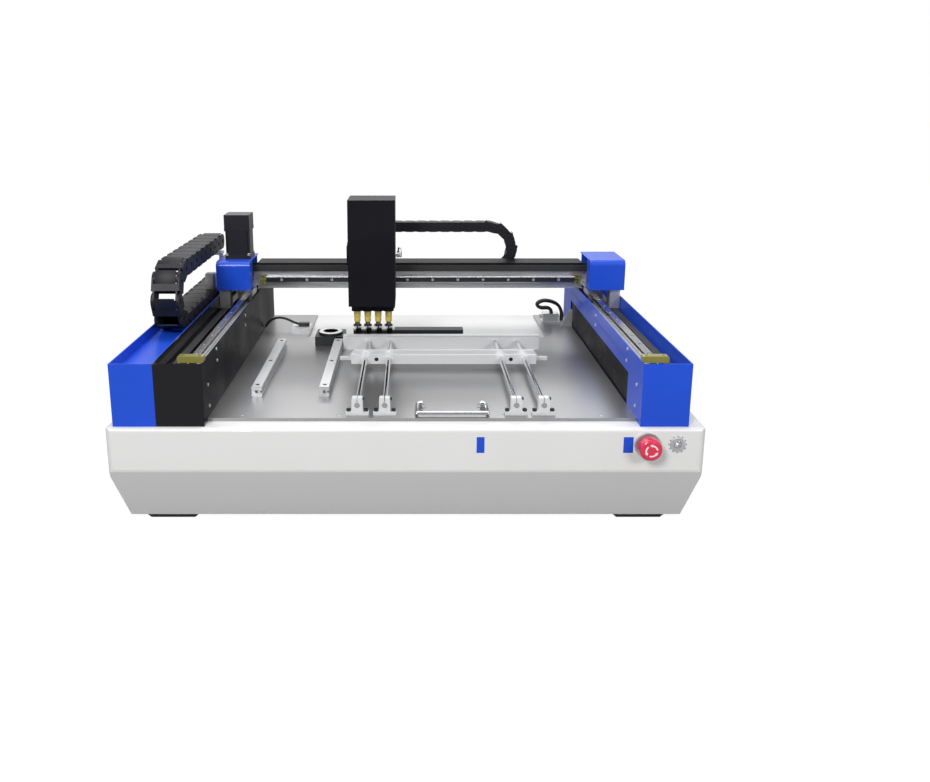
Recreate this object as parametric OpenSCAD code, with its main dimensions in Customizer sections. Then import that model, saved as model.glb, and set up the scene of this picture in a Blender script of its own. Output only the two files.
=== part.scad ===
// Desktop pick and place machine: a gantry on two rails over a table, with a head of
// four nozzles, belt drives, cable chains and a clamp for circuit boards.
// X runs across the machine, Y from the operator to the back, Z up from the floor.

/* [Base] */
// Width of the base
base_w = 1066; // [1060:1:1100]
// Depth of the base
base_d = 810; // [805:1:840]
// Height of the table's top above the floor
table_top = 195; // [185:1:230]
// Thickness of the table plate
table_t = 6; // [4:0.5:8]
// Height of the rubber feet
foot_h = 10; // [8:1:16]
// Height of the upright band round the base
band_h = 79; // [70:1:90]
// How far the base's lower edge is set in
base_taper = 28; // [15:1:40]
// Sheet thickness of the base
base_wall = 3; // [2:0.5:4]
// Corner radius of the base
base_corner = 14; // [8:1:20]

/* [Side boxes] */
// Outer width of the cable trough
trough_w = 77; // [76:1:80]
// Outer width of each rail box
box_w = 86; // [85:1:90]
// Height of the side boxes above the base
box_h = 116; // [112:1:120]
// Length of the side boxes
box_len = 781; // [775:1:790]
// Sheet thickness of the side boxes
box_wall = 2; // [1.5:0.5:3]
// Distance from the base's left side to the cable trough
trough_inset = 14; // [10:1:18]
// Distance from the base's front to the side boxes
box_setback = 9; // [6:1:12]
// Distance between the two rail boxes
table_w = 772; // [765:1:780]

/* [Table] */
// Distance from the base's front to the table's front edge
table_setback = 35; // [30:1:40]
// Depth of the table up to its rear cut-out
table_d = 534; // [530:1:545]
// Depth of the table's side wings
wing_d = 750; // [740:1:755]
// Width of the rear cut-out
cutout_w = 575; // [560:1:580]
// Distance from the left rail box to the cut-out
cutout_x = 116; // [110:1:125]

/* [Linear rails] */
// Width of the rails
rail_w = 15; // [15:1:16]
// Height of the rails
rail_h = 15; // [14:1:16]
// Distance from the rail's centre to the inner face of its box
rail_offset = 20; // [19:1:22]
// Height of the rails' underside above the base
rail_seat = 105; // [104:1:108]
// Length of the rails along Y
y_rail_len = 660; // [650:5:665]
// Spacing of the rail screws
rail_pitch = 60; // [50:10:70]

/* [Gantry] */
// Distance from the table's front to the X rail's face
gantry_y = 536; // [530:1:540]
// Height of the carriages from the rail's underside
carriage_h = 28; // [27:0.5:29]
// Height of the gantry beam
beam_h = 44; // [42:1:46]
// Depth of the gantry beam
beam_d = 60; // [56:1:62]
// Height of the beam's underside above the table
beam_z = 117; // [117:1:120]
// Height of the belt cover on the beam
cover_h = 18; // [17:1:20]
// Size of the square motors
motor_w = 60; // [57:1:60]
// Height of the X motor with its encoder
motor_h = 104; // [95:1:115]

/* [Head] */
// Distance from the machine's middle to the head
head_x = 79; // [70:1:90]
// Width of the head's cover
head_w = 105; // [100:1:110]
// Depth of the head's cover
head_d = 88; // [86:1:91]
// Height of the head's cover
head_h = 240; // [230:1:250]
// Height of the head cover's underside above the table
head_z = 103; // [100:1:106]
// Spacing of the nozzles
nozzle_pitch = 24.2; // [23.6:0.1:25]
// Height of the nozzle tips above the table
tip_z = 38; // [37:1:42]

/* [Cable chains] */
// Link length of the Y chain
y_link = 43; // [42:0.5:44]
// Height of the Y chain's links
y_chain_h = 35; // [33:1:36]
// Width of the Y chain's links
y_chain_w = 56; // [52:1:58]
// Link length of the X chain
x_link = 29; // [28.5:0.5:29.5]
// Height of the X chain's links
x_chain_h = 24; // [22:1:25]
// Width of the X chain's links
x_chain_w = 34; // [30:1:36]

/* [Board clamp] */
// Height of the fixed rear rail
rear_rail_h = 34; // [32:1:36]
// Length of the fixed rear rail
rear_rail_w = 448; // [440:1:452]
// Diameter of the guide rods
rod_d = 10; // [8:1:12]
// Height of the rods above the table
rod_z = 20; // [19:1:22]
// Depth of the clamp's travelling bars apart
clamp_span = 28; // [26:1:32]

/* [Controls] */
// Diameter of the stop button
estop_d = 40; // [36:1:42]
// How far the stop button stands proud
estop_proud = 30; // [26:1:32]
// Travel of the stop button
estop_travel = 5; // [4:0.5:6]
// Diameter of the start button
start_d = 22; // [20:1:24]

/* [Hidden] */
$fn = 32;

// Clearance between a piece and its seat, and round a turning or sliding piece
seat = 0.3;
rear_proud = 2;
eps = 0.5;

// Main planes: the front of the base and of the table, and the base's deck
base_front = -(base_d + estop_proud + rear_proud) / 2 + estop_proud;
base_rear = base_front + base_d;
table_front = base_front + table_setback;
deck = table_top - table_t;
box_front = base_front + box_setback;
box_rear = box_front + box_len;
box_top = deck + box_h;

// Sides of the boxes across the machine, from left to right
trough_x = -base_w / 2 + trough_inset;
left_x = trough_x + trough_w;
inner_left = left_x + box_w;
inner_right = inner_left + table_w;
right_x = inner_right + box_w;

// Rails, carriages and the gantry's own planes
rail_left = inner_left - rail_offset;
rail_right = inner_right + rail_offset + 2;
rail_z = deck + rail_seat;
rail_front = table_front - 5;
carriage_len = 61;
carriage_w = 34;
carriage_top = rail_z + carriage_h;
x_face = table_front + gantry_y;
beam_front = x_face + rail_h;
beam_bottom = table_top + beam_z;
beam_top = beam_bottom + beam_h;
x_rail_z = beam_bottom + 24;
plate_t = 10;
beam_left = inner_left - 2;
beam_right = inner_right + 4;
cover_front = table_front + 484;
cover_depth = 118;
left_cover_x = -442;
left_cover_w = 78;
right_cover_x = 423;
right_cover_w = 82;
sheet = 2;

// Belts: the X belt lies in a level loop, the Y belts in upright loops
belt_w = 15;
belt_t = 1.5;
pulley_r = 16;
x_axle_y = x_face + pulley_r;
x_axle_left = left_cover_x + 44;
x_axle_right = right_cover_x + 41;
x_belt_z = beam_top + cover_h / 2 - 1;
y_belt_left = left_x + 15;
y_belt_right = right_x - 15;
y_axle_z = deck + 70;
y_axle_front = box_front + 34;
y_axle_rear = box_rear - 36;

// Head, nozzles and their heights
head_front = table_front + 420;
head_left = -head_x - head_w / 2;
head_bottom = table_top + head_z;
head_top = head_bottom + head_h;
nozzle_y = head_front + 50;
x_carriage_front = x_face + rail_h - carriage_h;
tip = table_top + tip_z;
quill_z = tip + 32;
nozzle_stroke = 25;

// Cable chains: links round the bend and along the two runs
y_bend_links = 4;
y_bend_r = y_link / (2 * sin(90 / y_bend_links));
y_upper_links = 8;
y_lower_links = 10;
y_bend_y = table_front + 273;
y_tray_z = table_top + 91;
y_chain_z = y_tray_z + y_chain_h / 2 + y_bend_r;
y_chain_x = trough_x + trough_w / 2;
x_bend_links = 6;
x_bend_r = x_link / (2 * sin(90 / x_bend_links));
x_upper_links = 11;
x_lower_links = 14;
x_bend_x = 202;
x_chain_y = beam_front + beam_d + 6 + x_chain_w / 2;
x_tray_z = beam_bottom + 14;
x_chain_z = x_tray_z + x_chain_h / 2 + x_bend_r;

// Board clamp: two pairs of rods between front supports and the rear rail
rear_rail_x = -146;
rear_rail_y = table_front + 428;
rear_rail_t = 12;
rod_x = [-88, -38, 201, 251];
support_w = 42;
support_d = 14;
support_y = table_front + 20;
clamp_y = table_front + 288;
clamp_t = 8;
clamp_bar_h = 20;

// Handle on the table's front
handle_x = 85;
handle_y = table_front + 56;
handle_w = 129;
handle_reach = 47;
handle_d = 6;
handle_z = table_top + 6;

// Front panel: the stop button and the start button
estop_x = 428;
start_x = 482;
panel_z = table_top - 36;

// Routes of the two air hoses and of the camera's cable, in the part's own frame
hose_route = [
    [396, 324, 201.3], [396, 324, 221], [387, 320, 240], [370, 316, 251], [348, 313, 255],
    [333, 312, 249], [332, 312, 241], [343, 312, 236], [357, 313, 236], [366, 314, 231],
    [368, 314, 221.3]
];
cable_route = [
    [-352, 244, 203], [-346, 244, 213], [-334, 245, 222], [-318, 246, 226],
    [-300, 247, 222], [-284, 248, 214], [-270, 248, 209]
];
hose_d = 8;
cable_d = 6;

// A box between two corners
module slab(a, b) {
    translate(a) cube(b - a);
}

// A rectangle with round corners, from its lower left corner
module rounded_rect(w, h, r) {
    if (w > 2 * r) translate([r, 0]) square([w - 2 * r, h]);
    if (h > 2 * r) translate([0, r]) square([w, h - 2 * r]);
    for (x = [r, w - r], y = [r, h - r]) translate([x, y]) circle(r);
}

// A flat profile drawn in X and Z, extruded along Y
module along_y(y, length) {
    translate([0, y + length, 0]) rotate([90, 0, 0]) linear_extrude(length) children();
}

// A flat profile drawn in Y and Z, extruded along X
module along_x(x, length) {
    translate([x, 0, 0]) rotate([90, 0, 90]) linear_extrude(length) children();
}

// Points of an arc
function arc(c, r, from, to, n) = [
    for (i = [0 : n]) let (a = from + (to - from) * i / n) c + r * [cos(a), sin(a)]
];

// A point on a smooth curve through a route's points
function smooth(p, i, t) = let (
    a = p[max(i - 1, 0)], b = p[i], c = p[i + 1], d = p[min(i + 2, len(p) - 1)]
) 0.5 * (2 * b + (c - a) * t + (2 * a - 5 * b + 4 * c - d) * t * t
    + (3 * b - a - 3 * c + d) * t * t * t);

// A route's points with extra ones between them
function fine(p, n) = concat(
    [for (i = [0 : len(p) - 2], k = [0 : n - 1]) smooth(p, i, k / n)], [p[len(p) - 1]]
);

// A tube swept along points, with its rings square to the route
module tube(points, d, sides, side_on) {
    last = len(points) - 1;
    rings = [
        for (i = [0 : last])
            let (t = points[min(i + 1, last)] - points[max(i - 1, 0)],
                u = cross(t, side_on) / norm(cross(t, side_on)),
                v = cross(u, t) / norm(cross(u, t)))
            for (k = [0 : sides - 1])
                points[i] + d / 2 * (cos(k * 360 / sides) * u + sin(k * 360 / sides) * v)
    ];
    walls = [
        for (i = [0 : last - 1], k = [0 : sides - 1]) let (n = (k + 1) % sides)
            [i * sides + k, i * sides + n, (i + 1) * sides + n, (i + 1) * sides + k]
    ];
    ends = [
        [for (k = [sides - 1 : -1 : 0]) k],
        [for (k = [0 : sides - 1]) last * sides + k]
    ];
    polyhedron(rings, concat(walls, ends), convexity = 6);
}

// Outline of the base, set in by a wall: an upright band over an inset lower band
function base_outline(w, inset) = let (
    half = w / 2 - inset, top = deck - inset, fold = deck - band_h, low = foot_h + inset,
    r = base_corner / 2, foot_half = half - base_taper
) concat(
    [[-foot_half, low], [foot_half, low], [half, fold]],
    arc([half - r, top - r], r, 0, 90, 5),
    arc([-half + r, top - r], r, 90, 180, 5),
    [[-half, fold]]
);

module base_form(inset) {
    mid = (base_front + base_rear) / 2;
    intersection() {
        along_y(base_front + inset, base_d - 2 * inset) polygon(base_outline(base_w, inset));
        along_x(-base_w / 2 + inset, base_w - 2 * inset)
            translate([mid, 0]) polygon(base_outline(base_d, inset));
        translate([-base_w / 2 + inset, base_front + inset, 0]) linear_extrude(deck)
            rounded_rect(base_w - 2 * inset, base_d - 2 * inset, base_corner - inset);
    }
}

inlet_w = 48;
inlet_h = 60;
inlet_x = -420;
inlet_z = deck - band_h + 8;

module base_shell() {
    color("whitesmoke") difference() {
        base_form(0);
        base_form(base_wall);
        // Open underside, closed by the bottom plate
        slab([-base_w / 2 + base_taper + 20, base_front + base_taper + 20, foot_h - 1],
            [base_w / 2 - base_taper - 20, base_rear - base_taper - 20, foot_h + base_wall + 1]);
        // Holes for the two buttons and for the power inlet
        translate([estop_x, base_front - 1, panel_z]) rotate([-90, 0, 0])
            cylinder(base_wall + 2, d = 23);
        translate([start_x, base_front - 1, panel_z]) rotate([-90, 0, 0])
            cylinder(base_wall + 2, d = start_d - 4);
        slab([inlet_x, base_rear - base_wall - 1, inlet_z],
            [inlet_x + inlet_w, base_rear + 1, inlet_z + inlet_h]);
    }
}

module bottom_plate() {
    x = base_w / 2 - base_taper - 12;
    color("gray") difference() {
        slab([-x, base_front + base_taper + 12, foot_h + base_wall],
            [x, base_rear - base_taper - 12, foot_h + 2 * base_wall]);
        // Rows of slots let the warm air out
        for (i = [-6 : 6], y = [-160, 160])
            translate([i * 16, y, foot_h]) linear_extrude(3 * base_wall)
                translate([-3, -40]) rounded_rect(6, 80, 3);
    }
}

foot_w = 105;
foot_d = 60;
foot_x = base_w / 2 - base_taper - 22 - foot_w / 2;

module feet() {
    color("black") for (x = [-foot_x, foot_x], y = [base_front + 66, base_rear - 66])
        translate([x, 0, 0]) along_y(y - foot_d / 2, foot_d) polygon([
            [-foot_w / 2, foot_h], [-foot_w / 2 + 12, 0],
            [foot_w / 2 - 12, 0], [foot_w / 2, foot_h]
        ]);
}

module table_plate() {
    color("silver") difference() {
        slab([inner_left, table_front, deck], [inner_right, table_front + wing_d, table_top]);
        translate([inner_left + cutout_x, table_front + table_d, deck - 1])
            linear_extrude(table_t + 2) square([cutout_w, wing_d]);
        // Screw holes along the front edge and down both sides
        for (x = [inner_left + 60, 0.5 * (inner_left + inner_right) - 150,
                0.5 * (inner_left + inner_right) + 150, inner_right - 60])
            translate([x, table_front + 14, table_top - 3]) cylinder(4, d = 8);
    }
}

// A tray of folded sheet, open at the top, with closed ends
module tray(x, w, front, rear, top) {
    difference() {
        slab([x, front, deck], [x + w, rear, top]);
        slab([x + box_wall, front + box_wall, deck + box_wall],
            [x + w - box_wall, rear - box_wall, top + 1]);
    }
}

module left_trough() {
    color("royalblue") {
        difference() {
            tray(trough_x, trough_w, box_front, box_rear, box_top);
            // Slot for the chain's cables at the back
            slab([trough_x + 20, box_rear - box_wall - 1, deck + 30],
                [trough_x + trough_w - 20, box_rear + 1, deck + 60]);
        }
        // Shelf that the cable chain rolls on
        slab([trough_x + box_wall, box_front + box_wall, y_tray_z - box_wall],
            [left_x - box_wall, box_rear - box_wall, y_tray_z]);
    }
}

module left_box() {
    color("black") difference() {
        tray(left_x, box_w, box_front, box_rear, box_top);
        // Way through for the camera's cable
        translate([inner_left - box_wall - 1, cable_route[0][1], cable_route[0][2]])
            rotate([0, 90, 0]) cylinder(box_wall + 2, d = 14);
    }
}

leg_front = 100;
leg_rear = 96;
arch_strip = 26;
panel_gap = 35;

module right_box() {
    color("royalblue") {
        difference() {
            tray(inner_right, box_w, box_front, box_rear, box_top);
            // Arch in the inner wall
            slab([inner_right - 1, box_front + leg_front, deck + box_wall],
                [inner_right + box_wall + 1, box_rear - leg_rear, box_top - arch_strip]);
        }
    }
}

// Height of the rail supports, and a flanged section for them
support_h = rail_z - deck - box_wall;

module support_section(w, h) {
    difference() {
        translate([-w / 2, 0]) square([w, h]);
        translate([-w / 2 + 4, 6]) rounded_rect(w - 8, h / 2 - 9, 2);
        translate([-w / 2 + 4, h / 2 + 3]) rounded_rect(w - 8, h / 2 - 13, 2);
        for (side = [-1, 1], z = [h * 0.3, h * 0.7])
            translate([side * w / 2 - 2, z - 4]) square([4, 8]);
    }
}

support_bar_w = 28;

module rail_supports() {
    color("silver") for (x = [rail_left, rail_right])
        translate([x, 0, deck + box_wall]) along_y(rail_front, y_rail_len)
            support_section(support_bar_w, support_h);
}

// Rail section: a head over a waist
module rail_section(w, h) {
    polygon([
        [-w / 2, 0], [w / 2, 0], [w / 2, h * 0.35], [w / 2 - 2, h * 0.45],
        [w / 2 - 2, h * 0.62], [w / 2, h * 0.72], [w / 2, h - 1], [w / 2 - 1, h],
        [-w / 2 + 1, h], [-w / 2, h - 1], [-w / 2, h * 0.72], [-w / 2 + 2, h * 0.62],
        [-w / 2 + 2, h * 0.45], [-w / 2, h * 0.35]
    ]);
}

// A rail along Y from the origin, with counterbored screw holes
module rail(length, margin) {
    count = floor((length - 2 * margin) / rail_pitch);
    difference() {
        along_y(0, length) rail_section(rail_w, rail_h);
        for (i = [0 : count])
            translate([0, length / 2 + (i - count / 2) * rail_pitch, 0]) {
                translate([0, 0, -1]) cylinder(rail_h + 2, d = 4.5);
                translate([0, 0, rail_h - 5.3]) cylinder(6, d = 7.5);
            }
    }
}

module y_rails() {
    color("silver") for (x = [rail_left, rail_right])
        translate([x, rail_front, rail_z]) rail(y_rail_len, 20);
}

bumper_w = 46;
bumper_t = 16;

module y_bumpers() {
    color("yellowgreen") for (x = [rail_left, rail_right],
            y = [rail_front - seat - bumper_t, rail_front + y_rail_len + seat])
        translate([x - bumper_w / 2, y, box_top + seat]) difference() {
            along_y(0, bumper_t) rounded_rect(bumper_w, 12, 3);
            for (hole = [8, bumper_w - 8])
                translate([hole, bumper_t / 2, -1]) cylinder(14, d = 5);
        }
}

// A block on a rail along Y: steel body with end caps, open where the rail passes
module carriage_form(length, w, h) {
    difference() {
        union() {
            slab([-w / 2, -length / 2 + 9, 4.5], [w / 2, length / 2 - 9, h]);
            for (y = [-length / 2, length / 2 - 9.5])
                slab([-w / 2 + 0.5, y, 5], [w / 2 - 0.5, y + 9.5, h - 1]);
        }
        slab([-rail_w / 2 - seat, -length, -1], [rail_w / 2 + seat, length, rail_h + seat]);
        for (x = [-w / 2 + 5, w / 2 - 5], y = [-13, 13])
            translate([x, y, h - 6]) cylinder(7, d = 4);
    }
}

carriage_gap = 16;

module y_carriages() {
    color("silver") for (x = [rail_left, rail_right], side = [-1, 1])
        translate([x, carriage_mid + side * (carriage_len + carriage_gap) / 2, rail_z])
            carriage_form(carriage_len, carriage_w, carriage_h);
}

carriage_mid = cover_front + cover_depth / 2 + 4;

// Square stepper motor standing on the origin, its shaft pointing down
module motor_form(w, h, cap) {
    body = h - cap;
    difference() {
        union() {
            translate([-w / 2, -w / 2, 0]) linear_extrude(8) rounded_rect(w, w, 4);
            translate([-w / 2 + 1.5, -w / 2 + 1.5, 8]) linear_extrude(body - 16)
                rounded_rect(w - 3, w - 3, 7);
            translate([-w / 2, -w / 2, body - 8]) linear_extrude(8) rounded_rect(w, w, 4);
            translate([-w / 2 + 0.5, -w / 2 + 0.5, body]) linear_extrude(cap)
                rounded_rect(w - 1, w - 1, 3);
            translate([0, 0, -4]) cylinder(4, d = 38);
        }
        for (x = [-1, 1], y = [-1, 1]) {
            translate([x * (w / 2 - 5), y * (w / 2 - 5), -1]) cylinder(10, d = 5);
            // Notched corners where the flange screws go in
            translate([x * w / 2, y * w / 2, 8]) cylinder(body - 16, r = 9);
        }
    }
}

y_motor_h = 48;
y_motor_w = 56;
y_motor_gap = 17.5;

// Motor of one Y belt, on the belt's inner side with its shaft through the pulley
module y_motor(side) {
    face = (side < 0 ? y_belt_left : y_belt_right) - side * y_motor_gap;
    translate([face, y_axle_rear, y_axle_z]) rotate([0, -side * 90, 0]) {
        translate([-y_motor_w / 2, -y_motor_w / 2, 0]) linear_extrude(y_motor_h)
            rounded_rect(y_motor_w, y_motor_w, 5);
        translate([0, 0, -26]) cylinder(26, d = 8);
    }
}

module y_motors() {
    color("dimgray") {
        y_motor(-1);
        y_motor(1);
    }
}

// A toothed pulley with two flanges, standing on the origin
module pulley(r, w, bore) {
    teeth = 20;
    difference() {
        union() {
            difference() {
                cylinder(w, r = r - belt_t / 2 - seat);
                for (i = [0 : teeth - 1]) rotate(i * 360 / teeth)
                    translate([r - belt_t / 2, 0, -1]) cylinder(w + 2, r = 1.3);
            }
            for (z = [-2, w]) translate([0, 0, z]) cylinder(2, r = r + 2);
            translate([0, 0, -9]) cylinder(7, r = r * 0.62);
        }
        translate([0, 0, -20]) cylinder(w + 40, d = bore);
    }
}

// A closed belt round two pulleys that lie apart along X, standing on the origin
module belt(apart, w) {
    outer = pulley_r + belt_t / 2;
    inner = pulley_r - belt_t / 2;
    difference() {
        union() {
            for (x = [0, apart]) translate([x, 0, 0]) cylinder(w, r = outer);
            slab([0, -outer, 0], [apart, outer, w]);
        }
        for (x = [0, apart]) translate([x, 0, -1]) cylinder(w + 2, r = inner);
        slab([0, -inner, -1], [apart, inner, w + 1]);
    }
}

module y_belts() {
    color("black") for (x = [y_belt_left, y_belt_right])
        translate([x - belt_w / 2, y_axle_front, y_axle_z]) rotate([90, 0, 90])
            belt(y_axle_rear - y_axle_front, belt_w);
}

// The two Y pulleys about one axis along X, each with its hub towards the rail
module y_pulleys(y) {
    for (side = [-1, 1])
        translate([(side < 0 ? y_belt_left : y_belt_right) - side * (belt_w / 2 + 0.5),
                y, y_axle_z])
            rotate([90, 0, side * 90]) pulley(pulley_r, belt_w + 1, 8.2);
}

module y_drive_pulleys() {
    color("silver") y_pulleys(y_axle_rear);
}

module y_idler_pulleys() {
    color("silver") y_pulleys(y_axle_front);
}

module rear_pcb_rail() {
    z = table_top;
    color("silver") difference() {
        slab([rear_rail_x, rear_rail_y, z],
            [rear_rail_x + rear_rail_w, rear_rail_y + rear_rail_t, z + rear_rail_h]);
        // Ledge that the board's rear edge lies on
        slab([rear_rail_x - 1, rear_rail_y - 1, z + rear_rail_h - 6],
            [rear_rail_x + rear_rail_w + 1, rear_rail_y + 3, z + rear_rail_h - 3]);
        for (x = rod_x) translate([x, rear_rail_y - 1, z + rod_z]) rotate([-90, 0, 0])
            cylinder(rear_rail_t + 2, d = rod_d);
        for (x = [rear_rail_x + 20, rear_rail_x + rear_rail_w - 20])
            translate([x, rear_rail_y + rear_rail_t / 2 + 1, z + rear_rail_h - 4])
                cylinder(5, d = 5);
    }
}

module guide_rods() {
    color("gainsboro") for (x = rod_x)
        translate([x, support_y - support_d / 2 - 2, table_top + rod_z]) rotate([-90, 0, 0])
            cylinder(rear_rail_y + rear_rail_t - support_y + support_d / 2 + 2, d = rod_d);
}

// Shaft support: a foot with two ears and an upright with a clamped bore
module shaft_supports() {
    color("silver") for (x = rod_x) translate([x, support_y - support_d / 2, table_top])
        difference() {
            union() {
                along_y(0, support_d) translate([-support_w / 2, 0])
                    rounded_rect(support_w, 6.5, 1);
                along_y(0, support_d) translate([-10, 1]) rounded_rect(20, 32, 3);
            }
            translate([0, -1, rod_z]) rotate([-90, 0, 0]) cylinder(support_d + 2, d = rod_d);
            // Slit and cross screw that clamp the rod
            slab([-0.75, -1, rod_z + rod_d / 2 - 1], [0.75, support_d + 1, 40]);
            translate([-12, support_d / 2, rod_z + rod_d / 2 + 5]) rotate([0, 90, 0])
                cylinder(24, d = 4);
            for (side = [-16, 16]) translate([side, support_d / 2, -1]) cylinder(9, d = 5.5);
        }
}

clamp_front_x = -118;
clamp_front_w = 394;
clamp_rear_x = -144;
clamp_rear_w = 448;
clamp_z = table_top + rod_z - clamp_bar_h / 2;

module pcb_clamp() {
    color("silver") difference() {
        union() {
            along_y(clamp_y, clamp_t) translate([clamp_front_x, clamp_z])
                rounded_rect(clamp_front_w, clamp_bar_h, 2);
            // Longer bar whose ends run out to low toes
            along_y(clamp_y + clamp_span, clamp_t) polygon([
                [clamp_rear_x, clamp_z], [clamp_rear_x + clamp_rear_w, clamp_z],
                [clamp_rear_x + clamp_rear_w, clamp_z + 7],
                [clamp_rear_x + clamp_rear_w - 18, clamp_z + 7],
                [clamp_rear_x + clamp_rear_w - 30, clamp_z + clamp_bar_h + 2],
                [clamp_rear_x + 30, clamp_z + clamp_bar_h + 2],
                [clamp_rear_x + 18, clamp_z + 7], [clamp_rear_x, clamp_z + 7]
            ]);
            // Bushes that join the bars and ride on the rods
            for (x = rod_x) translate([x, clamp_y - 4, table_top + rod_z])
                rotate([-90, 0, 0]) cylinder(clamp_span + clamp_t + 8, d = rod_d + 9);
        }
        for (x = rod_x) translate([x, clamp_y - 10, table_top + rod_z])
            rotate([-90, 0, 0]) cylinder(clamp_span + 40, d = rod_d + 2 * seat);
        // Lightening holes in the front bar
        for (x = [clamp_front_x + 54, clamp_front_x + clamp_front_w - 54])
            translate([x, clamp_y - 1, table_top + rod_z]) rotate([-90, 0, 0])
                cylinder(clamp_t + 2, d = 9);
        // Step that the board's front edge lies on
        slab([clamp_rear_x + 32, clamp_y + clamp_span + clamp_t - 3,
                clamp_z + clamp_bar_h - 3],
            [clamp_rear_x + clamp_rear_w - 32, clamp_y + clamp_span + clamp_t + 1,
                clamp_z + clamp_bar_h]);
    }
}

bar_w = 20;
bar_y = table_front + 113;
bar_len = 337;
bar_left = [-298, -168];

module feeder_bars() {
    color("silver") for (x = bar_left) translate([x, bar_y, table_top]) difference() {
        along_y(0, bar_len) difference() {
            rounded_rect(bar_w, bar_w, 1);
            // Slot in the inner side that takes the strips' edge
            translate([bar_w - 4, bar_w / 2 - 2]) square([6, 4]);
        }
        for (y = [14, bar_len / 2, bar_len - 14]) {
            translate([bar_w / 2, y, -1]) cylinder(bar_w + 2, d = 5);
            translate([bar_w / 2, y, bar_w - 5]) cylinder(6, d = 9);
        }
        translate([bar_w / 2, -1, bar_w / 2]) rotate([-90, 0, 0]) cylinder(12, d = 6);
    }
}

camera_x = -180;
camera_y = table_front + 492;
camera_w = 68;

module up_camera() {
    color("black") translate([camera_x, camera_y, table_top]) {
        difference() {
            translate([-camera_w / 2, -camera_w / 2, 0]) linear_extrude(22)
                rounded_rect(camera_w, camera_w, 3);
            translate([0, 0, 10]) cylinder(13, d = 30);
        }
        // Ring that holds the lamps round the lens
        translate([0, 0, 22]) difference() {
            cylinder(5, d = 56);
            translate([0, 0, -1]) cylinder(7, d = 34);
        }
        // Lens barrel
        translate([0, 0, 10]) difference() {
            cylinder(9, d = 24);
            translate([0, 0, 5]) cylinder(5, d1 = 12, d2 = 18);
        }
    }
}

rack_x = -126;
rack_w = 258;
rack_y = table_front + 484;
rack_d = 30;
rack_h = 34;

module nozzle_rack() {
    color("dimgray") difference() {
        union() {
            slab([rack_x, rack_y, table_top], [rack_x + rack_w, rack_y + rack_d,
                table_top + rack_h - 3]);
            // Plate with a fork for each spare nozzle
            slab([rack_x, rack_y - 2, table_top + rack_h - 3],
                [rack_x + 4 * nozzle_pitch, rack_y + rack_d, table_top + rack_h]);
        }
        for (i = [0 : 3]) translate([rack_x + (i + 0.5) * nozzle_pitch, rack_y, 0]) {
            translate([0, 10, table_top + 6]) cylinder(rack_h, d = 13);
            slab([-6.5, -3, table_top + 6], [6.5, 10, table_top + rack_h + 1]);
        }
    }
}

module handle_feet() {
    color("gainsboro") for (side = [-1, 1])
        translate([handle_x + side * (handle_w / 2 - 7), handle_y, table_top]) {
            difference() {
                union() {
                    translate([-9, -7, 0]) linear_extrude(2) rounded_rect(18, 18, 3);
                    translate([-3, -6, 1]) cube([6, 12, 5]);
                    translate([-3, 0, handle_z - table_top]) rotate([0, 90, 0])
                        cylinder(6, d = 12);
                }
                translate([-5, 0, handle_z - table_top]) rotate([0, 90, 0])
                    cylinder(10, d = handle_d + 0.4);
            }
        }
}

// Wire bail that lies flat towards the operator, bent round at its two pivots
module carry_handle() {
    grip_z = handle_z - 1;
    half = handle_w / 2;
    color("gainsboro") {
        for (side = [-1, 1]) {
            translate([handle_x + side * half, handle_y, handle_z]) {
                rotate([0, -side * 90, 0]) cylinder(11, d = handle_d);
                sphere(d = handle_d);
                rotate([90, 0, 0]) cylinder(handle_reach, d = handle_d);
                translate([0, -handle_reach, 0]) sphere(d = handle_d);
            }
        }
        translate([handle_x - half, handle_y - handle_reach, handle_z]) rotate([0, 90, 0])
            cylinder(handle_w, d = handle_d + 1);
    }
}

module panel_bezels() {
    color("black") {
        translate([estop_x, base_front, panel_z]) rotate([90, 0, 0]) difference() {
            union() {
                cylinder(6, d = 46);
                translate([0, 0, -16]) cylinder(17, d = 22.4);
            }
            translate([0, 0, -20]) cylinder(40, d = 15);
        }
        translate([start_x, base_front, panel_z]) rotate([90, 0, 0]) difference() {
            union() {
                cylinder(3, d1 = start_d + 6, d2 = start_d + 3);
                translate([0, 0, -14]) cylinder(15, d = start_d - 4.6);
            }
            translate([0, 0, -20]) cylinder(40, d = start_d - 8);
        }
    }
}

// Mushroom head over a stem: a revolved profile
module estop_button() {
    r = estop_d / 2;
    under = 6 + estop_travel + seat;
    color("red") translate([estop_x, base_front, panel_z]) rotate([90, 0, 0])
        rotate_extrude() polygon(concat(
            [[0, -8], [7, -8], [7, under], [r - 2, under], [r, under + 2]],
            arc([r - 6, estop_proud - 6], 6, 0, 75, 5),
            [[0, estop_proud]]
        ));
}

start_travel = 2;

module start_button() {
    r = (start_d - 8) / 2 - seat;
    color("gainsboro") translate([start_x, base_front, panel_z]) rotate([90, 0, 0])
        rotate_extrude() polygon(concat(
            [[0, -6], [r, -6]], arc([r - 1, 3 + start_travel - 1], 1, 0, 90, 4),
            [[0, 3 + start_travel - 0.5]]
        ));
}

fitting_x = 345;
fitting_y = table_front + 655;

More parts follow.
